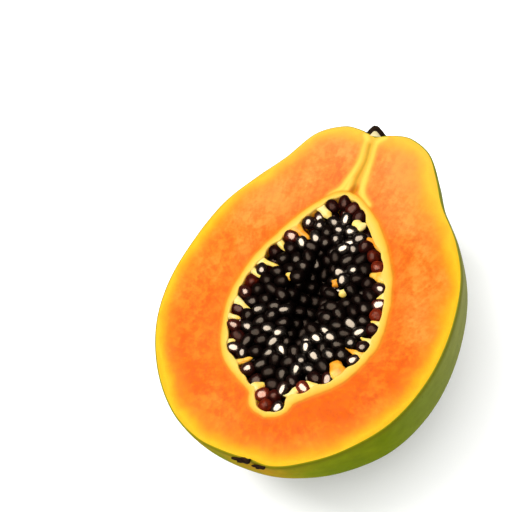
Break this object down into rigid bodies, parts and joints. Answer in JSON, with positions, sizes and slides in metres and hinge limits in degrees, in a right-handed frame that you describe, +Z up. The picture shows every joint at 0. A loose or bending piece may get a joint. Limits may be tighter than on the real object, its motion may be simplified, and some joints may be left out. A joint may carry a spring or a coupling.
{
  "type": "papaya half",
  "caption": "Half of a ripe papaya cut lengthwise, cut face up, with orange flesh, a hollow full of black seeds and green-yellow skin.",
  "frame": {"origin": "on the surface the half rests on, under the middle of its box", "axes": "+Z up, square to the cut face; +X along the fruit towards the stem; +Y across the fruit"},
  "size_m": [0.1626, 0.128, 0.0673],
  "materials": {
    "flesh_and_skin": "satin",
    "seeds": "gloss",
    "stalk": "matt",
    "scar": "matt"
  },
  "bodies": {
    "root": {"fruit_half": "flesh_and_skin", "seeds": "seeds", "stem_stub": "stalk", "blossom_scar": "scar"}
  },
  "joints": []
}
